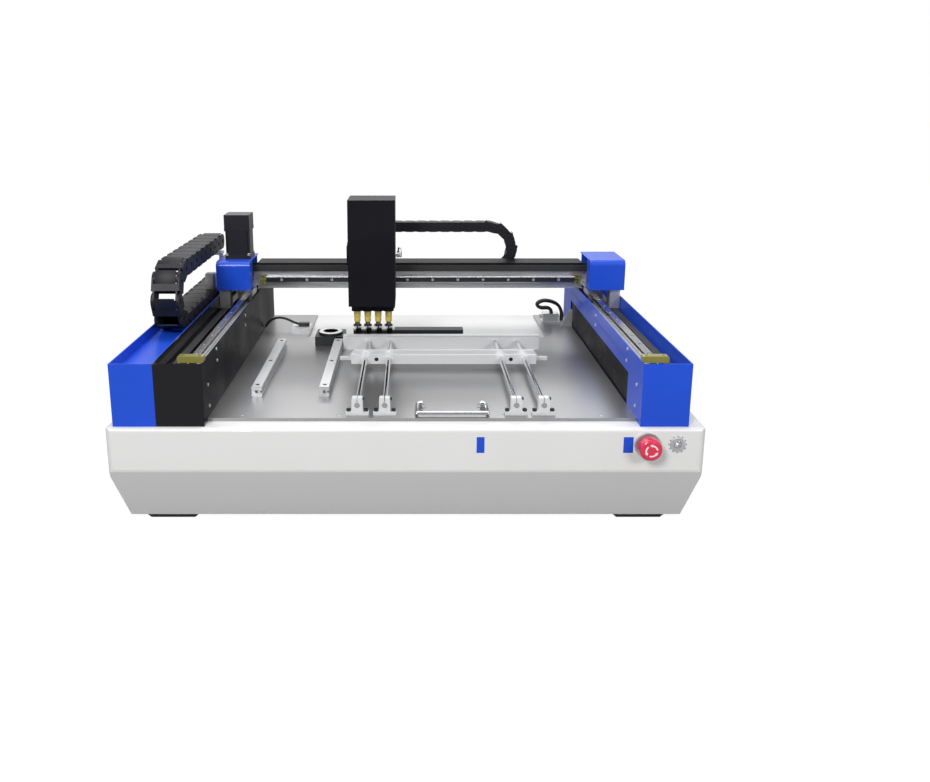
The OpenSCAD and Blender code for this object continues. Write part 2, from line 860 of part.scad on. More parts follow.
module rear_fittings() {
    color("silver") {
        // Vacuum valve with its knob
        translate([fitting_x, fitting_y, table_top]) difference() {
            union() {
                slab([0, 0, 0], [68, 36, 6]);
                slab([2, 4, 6], [42, 32, 26]);
                translate([2, 18, 17]) rotate([0, -90, 0]) cylinder(8, d = 12);
            }
            for (y = [7, 29]) translate([62, y, -1]) cylinder(8, d = 4);
        }
        // Gusset that stiffens the right box
        along_y(fitting_y - 24, 4) polygon([
            [inner_right - 30, table_top], [inner_right - seat, table_top],
            [inner_right - seat, table_top + 44], [inner_right - 6, table_top + 44]
        ]);
        // Block that carries the camera's plug
        slab([-286, table_front + 586, table_top], [-240, table_front + 622, table_top + 10]);
    }
}

module hoses_and_cable() {
    color("black") {
        tube(fine(hose_route, 3), hose_d, 8, [0, 1, 0.2]);
        translate([0, -hose_d - 1.4, 0]) tube(fine(hose_route, 3), hose_d, 8, [0, 1, 0.2]);
        tube(fine(cable_route, 3), cable_d, 8, [0, 1, 0]);
        // Plug at the cable's end
        slab([-270, 240.5, 205.4], [-244, 255.5, 213]);
    }
}

module power_inlet() {
    color("black") difference() {
        union() {
            slab([inlet_x + seat, base_rear - 28, inlet_z + seat],
                [inlet_x + inlet_w - seat, base_rear, inlet_z + inlet_h - seat]);
            slab([inlet_x - 3, base_rear, inlet_z - 3],
                [inlet_x + inlet_w + 3, base_rear + rear_proud, inlet_z + inlet_h + 3]);
        }
        // Socket with its three blades
        difference() {
            slab([inlet_x + 10, base_rear - 16, inlet_z + 6],
                [inlet_x + inlet_w - 10, base_rear + 5, inlet_z + 28]);
            for (dx = [-7, 0, 7])
                slab([inlet_x + inlet_w / 2 + dx - 1, base_rear - 17, inlet_z + 14],
                    [inlet_x + inlet_w / 2 + dx + 1, base_rear - 4, inlet_z + 20]);
        }
        slab([inlet_x + 12, base_rear - 14, rocker_z - 13],
            [inlet_x + inlet_w - 12, base_rear + 5, rocker_z + 13]);
    }
    // Pin that the rocker tips on
    color("black") rocker_pin(inlet_w - 24 + 2, rocker_pin_d);
}

rocker_pin_d = 2.2;

module rocker_pin(length, d) {
    translate([inlet_x + inlet_w / 2, base_rear - 7, rocker_z]) rotate([0, 90, 0])
        cylinder(length, d = d, center = true);
}

rocker_z = inlet_z + 44;

// Rocker that tips about a level pin, its two faces a few degrees apart
module power_rocker() {
    half = 11;
    color("black") difference() {
        along_x(inlet_x + 12 + seat, inlet_w - 24 - 2 * seat) polygon([
            [base_rear - 11, rocker_z - 3], [base_rear - 1.6, rocker_z - half],
            [base_rear - 1, rocker_z - half + 1], [base_rear - 2.4, rocker_z],
            [base_rear + 0.6, rocker_z + half - 1], [base_rear - 0.4, rocker_z + half],
            [base_rear - 11, rocker_z + 3]
        ]);
        rocker_pin(inlet_w, rocker_pin_d + 0.1);
    }
}

floor_z = foot_h + 2 * base_wall;

module base_electronics() {
    color("silver") {
        // Power supply
        slab([-430, 100, floor_z], [-215, 215, floor_z + 50]);
        // Vacuum pump on its foot
        slab([250, 120, floor_z], [400, 220, floor_z + 12]);
        translate([250, 170, floor_z + 46]) rotate([0, 90, 0]) cylinder(150, d = 68);
        // Control board on its four stand-offs
        difference() {
            slab([-120, -40, floor_z + 12], [130, 140, floor_z + 14]);
            for (x = [-112, 122], y = [-32, 132]) translate([x, y, floor_z])
                cylinder(30, d = 3);
        }
        for (x = [-112, 122], y = [-32, 132]) translate([x, y, floor_z])
            cylinder(12, d = 8);
        for (x = [-90 : 44 : 86]) slab([x, 0, floor_z + 14], [x + 34, 50, floor_z + 34]);
    }
}

// One chain link from the origin to its next pivot along X: cheeks, tongues and bars
module chain_link(p, h, w, t, $fn = 20) {
    gap = 0.3;
    half = w / 2;
    cheek_end = p - h / 2 - gap;
    pin_d = h * 0.3 - 0.5;
    for (side = [-1, 1]) {
        outer = side > 0 ? half - t : -half;
        inner = side > 0 ? half - 2 * t - gap : -half + t + gap;
        // Outer cheek round the rear pivot
        translate([0, outer, 0]) difference() {
            union() {
                rotate([-90, 0, 0]) cylinder(t, d = h);
                slab([0, 0, -h / 2], [cheek_end, t, h / 2]);
            }
            translate([0, -1, 0]) rotate([-90, 0, 0]) cylinder(t + 2, d = h * 0.3);
        }
        // Inner tongue round the next pivot, with the pin that turns in the next cheek
        translate([p, inner, 0]) rotate([-90, 0, 0]) cylinder(t, d = h - 1.2);
        slab([cheek_end - t, inner, -h / 2 + 0.6], [p, inner + t, h / 2 - 0.6]);
        translate([p, side > 0 ? inner + t / 2 : inner - t / 2 - gap, 0])
            rotate([-90, 0, 0]) cylinder(t + gap, d = pin_d);
        // Step that joins the cheek to its tongue
        slab([cheek_end - t, min(outer, inner), -h / 2 + 0.6],
            [cheek_end, max(outer, inner) + t, h / 2 - 0.6]);
    }
    // Cross bars over and under the cables
    for (z = [-h / 2, h / 2 - t]) slab([p * 0.25, -half + t / 2, z],
        [cheek_end, half - t / 2, z + t]);
}

// A straight run of links along X from the origin
module chain_run(n, p, h, w, t) {
    for (i = [0 : n - 1]) translate([i * p, 0, 0]) chain_link(p, h, w, t);
}

// Links round the half circle, from the top pivot to the bottom one, towards +X
module chain_arc(n, r, p, h, w, t) {
    step = 180 / n;
    for (i = [0 : n - 1]) rotate([0, i * step, 0]) translate([0, 0, r])
        rotate([0, step / 2, 0]) chain_link(p, h, w, t);
}

y_cheek = 3.2;
x_cheek = 2.2;

// Turns a chain drawn in X and Z so that it runs along Y, its bend to the front
module y_chain_place(z) {
    translate([y_chain_x, y_bend_y, z]) rotate([0, 0, -90]) children();
}

module y_chain_lower() {
    color("dimgray") {
        y_chain_place(y_chain_z - y_bend_r) mirror([1, 0, 0])
            chain_run(y_lower_links, y_link, y_chain_h, y_chain_w, y_cheek);
        // Foot that holds the last link on the shelf
        slab([y_chain_x - 20, y_bend_y + y_lower_links * y_link - 6, y_tray_z],
            [y_chain_x + 20, y_bend_y + y_lower_links * y_link + 30, y_tray_z + 4]);
        slab([y_chain_x - 20, y_bend_y + y_lower_links * y_link - 6, y_tray_z],
            [y_chain_x + 20, y_bend_y + y_lower_links * y_link + 4, y_tray_z + 20]);
    }
}

module y_chain_bend() {
    color("dimgray") y_chain_place(y_chain_z)
        chain_arc(y_bend_links, y_bend_r, y_link, y_chain_h, y_chain_w, y_cheek);
}

module y_chain_upper() {
    color("dimgray") y_chain_place(y_chain_z + y_bend_r)
        translate([-y_upper_links * y_link, 0, 0])
            chain_run(y_upper_links, y_link, y_chain_h, y_chain_w, y_cheek);
}

module end_plates() {
    z = carriage_top;
    back = cover_front + cover_depth - sheet - 1;
    opening = x_carriage_front - 4 + seat;
    color("silver") {
        for (side = [-1, 1]) {
            x0 = side < 0 ? left_cover_x + sheet + 1 : right_cover_x + sheet + seat;
            x1 = side < 0 ? left_cover_x + left_cover_w - sheet - seat
                : right_cover_x + right_cover_w - sheet - 1;
            upright = side < 0 ? beam_left - plate_t : beam_right;
            belt_x = side < 0 ? y_belt_left : y_belt_right;
            // Plate on the two carriages, with a tongue out to the beam
            slab([x0, cover_front + 10, z], [x1, back, z + plate_t]);
            slab([side < 0 ? x0 : upright, opening, z],
                [side < 0 ? beam_left : x1, back, z + plate_t]);
            // Upright that the beam is bolted to
            slab([upright, beam_front, z], [upright + plate_t, back, beam_top]);
            // Clamp that grips the top run of the Y belt
            slab([belt_x - 12, cover_front + 12, y_axle_z + pulley_r + belt_t / 2 + seat],
                [belt_x + 12, cover_front + 40, z]);
        }
        // Arm out through the cover's side, then up to the Y chain's last link
        slab([left_cover_x + sheet + 1, y_arm_y, z],
            [left_cover_x + sheet + 9, y_arm_y + 20, y_arm_z]);
        slab([y_post_x, y_arm_y, y_arm_z - 8], [left_cover_x + sheet + 9, y_arm_y + 20, y_arm_z]);
        slab([y_post_x, y_arm_y, y_arm_z - 8], [y_post_x + 6, y_arm_y + 20, y_shelf_z]);
        slab([y_chain_x - 24, y_arm_y, y_shelf_z - 6], [y_post_x + 6, y_arm_y + 30, y_shelf_z]);
    }
}

y_post_x = left_cover_x - 8;
y_arm_z = table_top + 185;
y_arm_y = y_bend_y + y_upper_links * y_link - 60;
y_shelf_z = y_chain_z + y_bend_r - y_chain_h / 2 - seat;

beam_len = beam_right - beam_left;

// Beam section: box with a rail seat, T slots at the back and two chambers
module beam_section() {
    difference() {
        square([beam_d, beam_h]);
        translate([-1, -1]) square([4, 10]);
        translate([5, 12]) rounded_rect(beam_d / 2 - 8, beam_h - 17, 3);
        translate([beam_d / 2 + 2, 5]) rounded_rect(beam_d / 2 - 12, beam_h - 10, 3);
        for (z = [beam_h * 0.28, beam_h * 0.72]) {
            translate([beam_d - 3, z - 4]) square([4, 8]);
            translate([beam_d - 7, z - 6]) square([4.5, 12]);
        }
    }
}

module gantry_beam() {
    color("silver") along_x(beam_left, beam_len) translate([beam_front, beam_bottom])
        beam_section();
}

module beam_cover() {
    z = beam_top;
    color("black") difference() {
        slab([beam_left, beam_front, z], [beam_right, beam_front + beam_d, z + cover_h]);
        slab([beam_left - 1, beam_front + 2, z - 1],
            [beam_right + 1, beam_front + beam_d - 2, z + cover_h - 2]);
    }
}

x_rail_len = beam_len - 44;

module x_rail() {
    color("silver") translate([beam_left + 22, beam_front, x_rail_z]) rotate([0, 90, 0])
        rotate([90, 0, 0]) rail(x_rail_len, 20);
}

module x_bumpers() {
    color("yellowgreen") for (x = [beam_left + 6, beam_right - 22], dz = [-11, 3])
        translate([x, beam_front - 12, x_rail_z + dz]) difference() {
            cube([16, 12, 8]);
            translate([8, -1, 4]) rotate([-90, 0, 0]) cylinder(14, d = 4);
        }
}

// Folded end cover: closed at the top, front and outer side, its fold rounded
module end_cover(x, w, z, h) {
    r = 12;
    outline = concat([[0, 0]], arc([r, h - r], r, 180, 90, 6),
        [[cover_depth, h], [cover_depth, 0]]);
    inner = concat([[sheet, -1]], arc([r, h - r], r - sheet, 180, 90, 6),
        [[cover_depth - sheet, h - sheet], [cover_depth - sheet, -1]]);
    translate([0, cover_front, z]) difference() {
        along_x(x, w) polygon(outline);
        along_x(x + sheet, w - 2 * sheet) polygon(inner);
    }
}

module left_end_cover() {
    z = carriage_top + seat;
    h = left_cover_h;
    color("royalblue") difference() {
        end_cover(left_cover_x, left_cover_w, z, h);
        // Open towards the beam, and a hole for the motor's shoulder
        slab([left_cover_x + left_cover_w - sheet - 1, x_carriage_front - 4, z - 1],
            [left_cover_x + left_cover_w + 1, cover_front + cover_depth + 1, z + h - sheet]);
        slab([left_cover_x - 1, y_arm_y - 1, y_arm_z - 9],
            [left_cover_x + sheet + 1, y_arm_y + 21, y_arm_z + 1]);
        translate([x_axle_left, x_axle_y, z + h - sheet - 1]) cylinder(sheet + 2, d = 39);
    }
}

left_cover_h = 66;
right_cover_h = 70;

module right_end_cover() {
    z = carriage_top + seat;
    color("royalblue") difference() {
        end_cover(right_cover_x, right_cover_w, z, right_cover_h);
        slab([right_cover_x - 1, x_carriage_front - 4, z - 1],
            [right_cover_x + sheet + 1, cover_front + cover_depth + 1,
                z + right_cover_h - sheet]);
    }
}

motor_z = carriage_top + seat + left_cover_h;

module x_motor() {
    color("dimgray") translate([x_axle_left, x_axle_y, motor_z])
        difference() {
            motor_form(motor_w, motor_h, 30);
            translate([0, 0, -10]) cylinder(20, d = 8.2);
        }
}

module x_pulley(x) {
    z = x_belt_z - belt_w / 2 - 0.5;
    color("silver") translate([x, x_axle_y, z]) {
        pulley(pulley_r, belt_w + 1, 0.5);
        // Shaft
        translate([0, 0, -20]) cylinder(belt_w + 26, d = 8);
    }
}

module x_drive_pulley() {
    x_pulley(x_axle_left);
    color("silver") translate([x_axle_left, x_axle_y, x_belt_z]) cylinder(28, d = 7.6);
}

module x_idler_pulley() {
    x_pulley(x_axle_right);
}

module x_belt() {
    color("black") translate([x_axle_left, x_axle_y, x_belt_z - belt_w / 2])
        belt(x_axle_right - x_axle_left, belt_w);
}

module x_chain_place(z) {
    translate([x_bend_x, x_chain_y, z]) children();
}

module x_chain_lower() {
    run = x_lower_links * x_link;
    back = beam_front + beam_d;
    color("dimgray") {
        x_chain_place(x_chain_z - x_bend_r) mirror([1, 0, 0])
            chain_run(x_lower_links, x_link, x_chain_h, x_chain_w, x_cheek);
        // Shelf on the beam's back that the chain rolls on
        difference() {
            slab([x_bend_x - run - 40, back, x_tray_z - 3],
                [beam_right - 40, back + x_chain_w + 12, x_tray_z]);
            for (x = [-150 : 90 : 350]) translate([x, back + 24, x_tray_z - 4])
                linear_extrude(6) translate([-20, -4]) rounded_rect(40, 8, 4);
        }
        slab([x_bend_x - run - 40, back, x_tray_z - 16], [beam_right - 40, back + 3, x_tray_z]);
        slab([x_bend_x - run - 36, x_chain_y - 10, x_tray_z],
            [x_bend_x - run + 4, x_chain_y + 10, x_tray_z + 12]);
    }
}

module x_chain_bend() {
    color("dimgray") x_chain_place(x_chain_z)
        chain_arc(x_bend_links, x_bend_r, x_link, x_chain_h, x_chain_w, x_cheek);
}

module x_chain_upper() {
    color("dimgray") x_chain_place(x_chain_z + x_bend_r)
        translate([-x_upper_links * x_link, 0, 0])
            chain_run(x_upper_links, x_link, x_chain_h, x_chain_w, x_cheek);
}

back_plate_t = 12;
back_plate_front = x_carriage_front - back_plate_t;

module head_carriage() {
    plate_w = 84;
    arm_z = x_chain_z + x_bend_r - x_chain_h / 2 - 6 - seat;
    color("silver") {
        // Carriage on the X rail, opening to the rail behind it
        translate([-head_x, beam_front, x_rail_z]) rotate([90, 0, 0]) rotate([0, 0, 90])
            carriage_form(carriage_len, carriage_w, carriage_h);
        // Back plate that carries the whole head
        difference() {
            slab([-head_x - plate_w / 2, back_plate_front, head_bottom - 18],
                [-head_x + plate_w / 2, x_carriage_front, head_top - 30]);
            for (dx = [-24, 24], z = [head_bottom + 100, head_bottom + 130])
                translate([-head_x + dx, back_plate_front - 1, z]) rotate([-90, 0, 0])
                    cylinder(back_plate_t + 2, d = 8);
        }
        // Clamp on the belt's front run
        difference() {
            slab([-head_x - 22, x_carriage_front, x_belt_z - 14],
                [-head_x + 22, x_face - belt_t / 2 - seat, x_belt_z + 14]);
        }
        // Arm over the beam to the X chain's last link
        slab([-head_x - 40, x_carriage_front, arm_z],
            [-head_x + 10, x_chain_y + x_chain_w / 2 - 4, arm_z + 6]);
    }
}

cover_t = 2;
crease = 154;

// Head cover: a box open at the back, its front bent at a crease, with side lips
module head_cover() {
    lean = 5;
    depth = back_plate_front + back_plate_t - head_front;
    color("black") difference() {
        along_x(head_left, head_w) translate([head_front, head_bottom]) polygon([
            [0, 0], [depth, 0], [depth, head_h], [lean, head_h], [0, crease]
        ]);
        along_x(head_left + cover_t, head_w - 2 * cover_t)
            translate([head_front, head_bottom]) polygon([
                [cover_t, -1], [depth + 1, -1], [depth + 1, head_h - cover_t],
                [lean + cover_t, head_h - cover_t], [cover_t, crease]
            ]);
    }
}

quill_w = 20;
block_w = 4 * nozzle_pitch + 4;

module nozzle_block() {
    x0 = -head_x - block_w / 2;
    top = head_bottom + 150;
    bottom = table_top + 84;
    color("black") difference() {
        union() {
            // Guide block behind the quills, stepped under the cover
            slab([x0, nozzle_y + quill_w / 2 + 2, bottom],
                [x0 + block_w, back_plate_front - seat, top]);
            // Lower yoke round the quills
            slab([x0 + 2, nozzle_y - 16, bottom],
                [x0 + block_w - 2, nozzle_y + quill_w / 2 + 2, bottom + 16]);
        }
        for (i = [0 : 3]) translate([nozzle_x(i), nozzle_y, bottom - 1])
            cylinder(20, d = 16 + 2 * seat);
        for (i = [0 : 4]) translate([-head_x + (i - 2) * nozzle_pitch, nozzle_y - 16, bottom - 1])
            cylinder(20, d = 6);
    }
}

function nozzle_x(i) = -head_x + (i - 1.5) * nozzle_pitch;

// Quill: the sliding unit with its small hollow motor and its round snout
module quill(i) {
    color("silver") translate([nozzle_x(i), nozzle_y, 0]) difference() {
        union() {
            translate([0, 0, quill_z]) cylinder(62, d = 16);
            translate([-quill_w / 2, -quill_w / 2, quill_z + 62]) linear_extrude(38)
                rounded_rect(quill_w, quill_w, 2);
        }
        translate([0, 0, quill_z - 1]) cylinder(120, d = 6 + 0.6);
    }
}

// Nozzle: hollow shaft, amber body, black disc and needle, all turning together
module nozzle(i) {
    color("goldenrod") translate([nozzle_x(i), nozzle_y, 0]) difference() {
        rotate_extrude() polygon([
            [0, tip], [1, tip], [1.6, tip + 5], [3, tip + 8], [9.5, tip + 8],
            [9.5, tip + 11], [6, tip + 13], [5, tip + 16], [7.5, tip + 20],
            [7.5, tip + 29], [5, quill_z - seat], [3, quill_z - seat],
            [3, quill_z + 104], [0, quill_z + 104]
        ]);
        translate([0, 0, tip - 1]) cylinder(6, d = 0.8);
        translate([0, 0, quill_z + 60]) cylinder(50, d = 3);
    }
}

base_shell();
bottom_plate();
feet();
table_plate();
left_trough();
left_box();
right_box();
rail_supports();
y_rails();
y_bumpers();
y_motors();
y_belts();
y_drive_pulleys();
y_idler_pulleys();
rear_pcb_rail();
guide_rods();
shaft_supports();
pcb_clamp();
feeder_bars();
up_camera();
nozzle_rack();
handle_feet();
carry_handle();
panel_bezels();
estop_button();
start_button();
rear_fittings();
hoses_and_cable();
power_inlet();
power_rocker();
base_electronics();
y_chain_lower();
y_chain_bend();
y_chain_upper();
y_carriages();
end_plates();
gantry_beam();
beam_cover();
x_rail();
left_end_cover();
right_end_cover();
x_motor();
x_belt();
x_bumpers();
x_drive_pulley();
x_idler_pulley();
x_chain_lower();
x_chain_bend();
x_chain_upper();
head_carriage();
head_cover();
nozzle_block();
quill(0);  // quill_1
quill(1);  // quill_2
quill(2);  // quill_3
quill(3);  // quill_4
nozzle(0);  // nozzle_1
nozzle(1);  // nozzle_2
nozzle(2);  // nozzle_3
nozzle(3);  // nozzle_4
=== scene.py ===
"""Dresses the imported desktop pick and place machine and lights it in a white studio."""

import math

import bmesh
import bpy
from mathutils import Matrix, Vector


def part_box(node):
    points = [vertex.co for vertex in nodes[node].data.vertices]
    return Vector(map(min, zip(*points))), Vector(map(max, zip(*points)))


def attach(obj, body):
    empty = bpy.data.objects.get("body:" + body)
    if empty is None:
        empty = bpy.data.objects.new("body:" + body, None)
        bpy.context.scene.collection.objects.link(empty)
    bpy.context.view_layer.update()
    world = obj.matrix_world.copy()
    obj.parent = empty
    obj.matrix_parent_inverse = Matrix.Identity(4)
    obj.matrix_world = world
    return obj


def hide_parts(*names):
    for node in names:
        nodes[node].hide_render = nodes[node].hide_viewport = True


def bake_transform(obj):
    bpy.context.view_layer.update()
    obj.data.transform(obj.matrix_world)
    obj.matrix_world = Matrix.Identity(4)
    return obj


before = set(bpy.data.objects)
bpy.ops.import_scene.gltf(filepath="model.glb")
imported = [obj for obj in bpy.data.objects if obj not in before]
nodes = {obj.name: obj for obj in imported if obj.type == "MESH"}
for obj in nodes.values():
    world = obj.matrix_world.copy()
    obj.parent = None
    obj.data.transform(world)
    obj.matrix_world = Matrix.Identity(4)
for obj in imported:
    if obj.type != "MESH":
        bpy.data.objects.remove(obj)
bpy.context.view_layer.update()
scene = bpy.context.scene

# Camera at the operator's side, a little above the machine
camera = bpy.data.objects.new("camera", bpy.data.cameras.new("camera"))
scene.collection.objects.link(camera)
camera.location = (0.0116, -1.787, 0.753)
camera.rotation_euler = (math.radians(77), 0, 0)
camera.data.sensor_width = 36
camera.data.lens = 32.67
camera.data.shift_x = 0.057
camera.data.shift_y = -0.1033
scene.camera = camera
scene.view_settings.view_transform = "Standard"


def low(node, axis):
    """The least coordinate of a CAD node along an axis, 0 to 2."""
    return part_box(node)[0][axis]


def high(node, axis):
    """The greatest coordinate of a CAD node along an axis, 0 to 2."""
    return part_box(node)[1][axis]


# ---------------------------------------------------------------- materials

def surface(name, color, rough, metal=0.0, coat=0.0, spread=0.05, uneven=0.05,
            grain=(900, 900, 900), relief=0.00002, patch=7.0, zones=(), specular=0.5):
    """A Principled material whose tone, sheen and relief vary.

    grain stretches the fine noise, so that unequal numbers give a brushed or drawn
    surface. zones are (axis, low, high, color, metal, rough) slices in metres.
    """
    made = bpy.data.materials.new(name)
    made.use_nodes = True
    tree = made.node_tree
    new, link = tree.nodes.new, tree.links.new
    shader = tree.nodes["Principled BSDF"]
    shader.inputs["Coat Weight"].default_value = coat
    shader.inputs["Coat Roughness"].default_value = 0.06
    shader.inputs["Specular IOR Level"].default_value = specular
    where = new("ShaderNodeTexCoord")
    stretch = new("ShaderNodeMapping")
    stretch.inputs["Scale"].default_value = grain
    link(where.outputs["Object"], stretch.inputs["Vector"])
    fine = new("ShaderNodeTexNoise")
    fine.inputs["Scale"].default_value = 1.0
    fine.inputs["Detail"].default_value = 3.0
    link(stretch.outputs["Vector"], fine.inputs["Vector"])
    broad = new("ShaderNodeTexNoise")
    broad.inputs["Scale"].default_value = patch
    broad.inputs["Detail"].default_value = 5.0
    link(where.outputs["Object"], broad.inputs["Vector"])
    both = new("ShaderNodeMath")
    both.operation = "MULTIPLY_ADD"
    link(broad.outputs["Fac"], both.inputs[0])
    both.inputs[1].default_value = 0.6
    half = new("ShaderNodeMath")
    half.operation = "MULTIPLY"
    half.inputs[1].default_value = 0.4
    link(fine.outputs["Fac"], half.inputs[0])
    link(half.outputs[0], both.inputs[2])
    tone = new("ShaderNodeMapRange")
    tone.inputs["From Min"].default_value = 0.3
    tone.inputs["From Max"].default_value = 0.7
    link(both.outputs[0], tone.inputs["Value"])
    paint = new("ShaderNodeMix")
    paint.data_type = "RGBA"
    paint.inputs["A"].default_value = [c * (1 - spread) for c in color] + [1]
    paint.inputs["B"].default_value = [min(1, c * (1 + spread)) for c in color] + [1]
    link(tone.outputs[0], paint.inputs["Factor"])
    gloss = new("ShaderNodeMapRange")
    gloss.inputs["From Min"].default_value = 0.3
    gloss.inputs["From Max"].default_value = 0.7
    gloss.inputs["To Min"].default_value = max(0.02, rough - uneven)
    gloss.inputs["To Max"].default_value = min(1, rough + uneven)
    link(both.outputs[0], gloss.inputs["Value"])
    tint, shine, ore = paint.outputs["Result"], gloss.outputs[0], None
    for axis, start, end, zone_color, zone_metal, zone_rough in zones:
        split = new("ShaderNodeSeparateXYZ")
        link(where.outputs["Object"], split.inputs[0])
        over = new("ShaderNodeMath")
        over.operation = "GREATER_THAN"
        over.inputs[1].default_value = start
        link(split.outputs[axis], over.inputs[0])
        under = new("ShaderNodeMath")
        under.operation = "LESS_THAN"
        under.inputs[1].default_value = end
        link(split.outputs[axis], under.inputs[0])
        inside = new("ShaderNodeMath")
        inside.operation = "MULTIPLY"
        link(over.outputs[0], inside.inputs[0])
        link(under.outputs[0], inside.inputs[1])
        shade = new("ShaderNodeMix")
        shade.data_type = "RGBA"
        link(tint, shade.inputs["A"])
        shade.inputs["B"].default_value = list(zone_color) + [1]
        link(inside.outputs[0], shade.inputs["Factor"])
        tint = shade.outputs["Result"]
        for kind in ("metal", "rough"):
            blend = new("ShaderNodeMix")
            if kind == "rough":
                link(shine, blend.inputs["A"])
                blend.inputs["B"].default_value = zone_rough
            else:
                blend.inputs["A"].default_value = metal
                if ore is not None:
                    link(ore, blend.inputs["A"])
                blend.inputs["B"].default_value = zone_metal
            link(inside.outputs[0], blend.inputs["Factor"])
            if kind == "rough":
                shine = blend.outputs["Result"]
            else:
                ore = blend.outputs["Result"]
    link(tint, shader.inputs["Base Color"])
    link(shine, shader.inputs["Roughness"])
    if ore is None:
        shader.inputs["Metallic"].default_value = metal
    else:
        link(ore, shader.inputs["Metallic"])
    rise = new("ShaderNodeBump")
    rise.inputs["Strength"].default_value = 0.6
    rise.inputs["Distance"].default_value = relief
    link(fine.outputs["Fac"], rise.inputs["Height"])
    link(rise.outputs["Normal"], shader.inputs["Normal"])
    return made


WHITE = (0.77, 0.77, 0.765)
BLUE = (0.011, 0.075, 0.62)
BLACK = (0.007, 0.007, 0.010)
STEEL = (0.55, 0.55, 0.56)

# Below 95.5 mm over the shell's foot the white coat is painted grey: painted shade on the lower
# panel, which faces down
white = surface("white_powder_coat", WHITE, 0.34, coat=0.2, spread=0.02, grain=(700,) * 3,
                zones=[(2, -1, low("base_shell", 2) + 0.0955, (0.60, 0.60, 0.60), 0.0, 0.38)])
blue = surface("blue_powder_coat", BLUE, 0.36, coat=0.1, spread=0.10, grain=(800,) * 3,
               specular=0.3)
gloss_black = surface("black_gloss_sheet", BLACK, 0.14, coat=0.2, uneven=0.05, specular=0.3)
# Near-black, almost unreflective sheet material: painted shade for the dark openings under the
# side beams
painted_shade_black = surface("painted_shade_sheet", (0.008, 0.008, 0.010), 0.30, specular=0.02,
                     spread=0.4, uneven=0.1, patch=12.0)
satin_black = surface("satin_black_coat", BLACK, 0.48, spread=0.2, grain=(1200,) * 3,
                      specular=0.12)
table = surface("brushed_table", (0.36, 0.36, 0.365), 0.32, metal=0.92, spread=0.035,
                uneven=0.035, grain=(25, 900, 900), patch=3.0, relief=0.00001)
aluminium = surface("clear_anodised", (0.66, 0.67, 0.68), 0.34, metal=0.75, uneven=0.06)
drawn = surface("drawn_aluminium", (0.68, 0.69, 0.70), 0.30, metal=0.8, grain=(8, 900, 900))
milled = surface("milled_along_y", (0.66, 0.67, 0.68), 0.32, metal=0.75, grain=(900, 8, 900))
rail_y = surface("ground_rail_y", (0.34, 0.34, 0.35), 0.22, metal=1.0, grain=(900, 6, 900))
rail_mid_z = (low("x_rail", 2) + high("x_rail", 2)) / 2
rail_x = surface("ground_rail_x", (0.62, 0.62, 0.64), 0.22, metal=1.0, grain=(6, 900, 900),
                 zones=[(2, rail_mid_z - 0.0052, rail_mid_z + 0.0055, (0.07, 0.07, 0.08),
                         0.9, 0.30)])
chrome = surface("polished_chrome", (0.80, 0.80, 0.82), 0.08, metal=1.0, uneven=0.03)
zinc = surface("zinc_screw", (0.75, 0.75, 0.75), 0.28, metal=0.8, grain=(1500,) * 3)
dark_screw = surface("black_oxide_screw", (0.05, 0.05, 0.052), 0.35, metal=0.8)
bumper = surface("cast_polyurethane", (0.20, 0.19, 0.035), 0.25, spread=0.16, coat=0.2)
rubber = surface("moulded_rubber", (0.018, 0.018, 0.019), 0.62, spread=0.15)
belt = surface("belt_rubber", (0.02, 0.02, 0.02), 0.55, spread=0.2, relief=0.0002)
chain = surface("chain_nylon", (0.014, 0.014, 0.018), 0.45, spread=0.2, uneven=0.07,
                specular=0.25)
plastic = surface("moulded_black", (0.015, 0.015, 0.017), 0.38, spread=0.12, specular=0.4)
red = surface("red_mushroom", (0.72, 0.03, 0.08), 0.25, coat=0.4, spread=0.05)
motor = surface("motor_enamel", (0.016, 0.016, 0.022), 0.36, metal=0.1, spread=0.15,
                specular=0.4)
pale = surface("pale_print", (0.86, 0.80, 0.82), 0.45, spread=0.03)
glow = surface("lamp_diffuser", (0.86, 0.87, 0.86), 0.45, spread=0.02)
lens = surface("coated_glass", (0.02, 0.025, 0.05), 0.05, coat=1.0, uneven=0.02)
bright = surface("clamp_aluminium", (0.74, 0.75, 0.76), 0.36, metal=0.25, spread=0.03,
                 grain=(8, 900, 900))
rack_left, rack_high = low("nozzle_rack", 0), high("nozzle_rack", 2)
rack = surface("rack_black", (0.012, 0.012, 0.013), 0.40, zones=[
    (2, rack_high - 0.003, rack_high + 0.01, (0.66, 0.66, 0.67), 0.8, 0.3),
    (0, rack_left + 0.0968, rack_left + 1, (0.012, 0.012, 0.013), 0.0, 0.4)])
quill_low = low("quill_1", 2)
quill = surface("quill_body", (0.55, 0.55, 0.57), 0.25, metal=0.9, zones=[
    (2, quill_low - 0.01, quill_low + 0.03, (0.62, 0.52, 0.14), 0.1, 0.3)])

